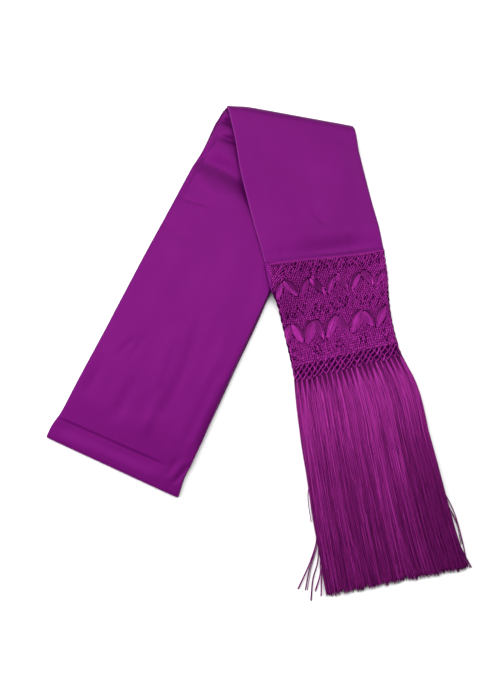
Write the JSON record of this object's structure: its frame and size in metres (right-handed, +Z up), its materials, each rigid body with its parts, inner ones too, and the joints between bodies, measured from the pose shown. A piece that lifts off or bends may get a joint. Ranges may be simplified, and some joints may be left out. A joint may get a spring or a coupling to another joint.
{
  "type": "rebozo shawl",
  "caption": "Woven shawl folded lengthwise and laid flat in a V, with a knotted openwork band and a long loose fringe at its visible end.",
  "frame": {"origin": "middle of the bounding box of the whole shawl, on the surface that it lies on", "axes": "+Z up from that surface, +Y towards the slanting fold, +X from the cloth's lower stretch towards the fringed one"},
  "size_m": [0.517, 0.675, 0.017],
  "materials": {
    "cloth": "fine satin-faced weave, soft sheen",
    "cloth_layers": "the same weave seen at its folded edges",
    "knotted_thread": "hand-knotted twisted thread, satin lustre",
    "thread_layers": "the same knotting, in shadow",
    "fringe_thread": "loose fine twisted thread, satin lustre"
  },
  "bodies": {
    "root": {"lower_stretch": "cloth", "upper_stretch": "cloth", "folded_layers": "cloth_layers", "knotted_band": "knotted_thread", "knotted_band_layers": "thread_layers", "fringe_lower": "fringe_thread", "fringe_middle": "fringe_thread", "fringe_upper": "fringe_thread"}
  },
  "joints": []
}
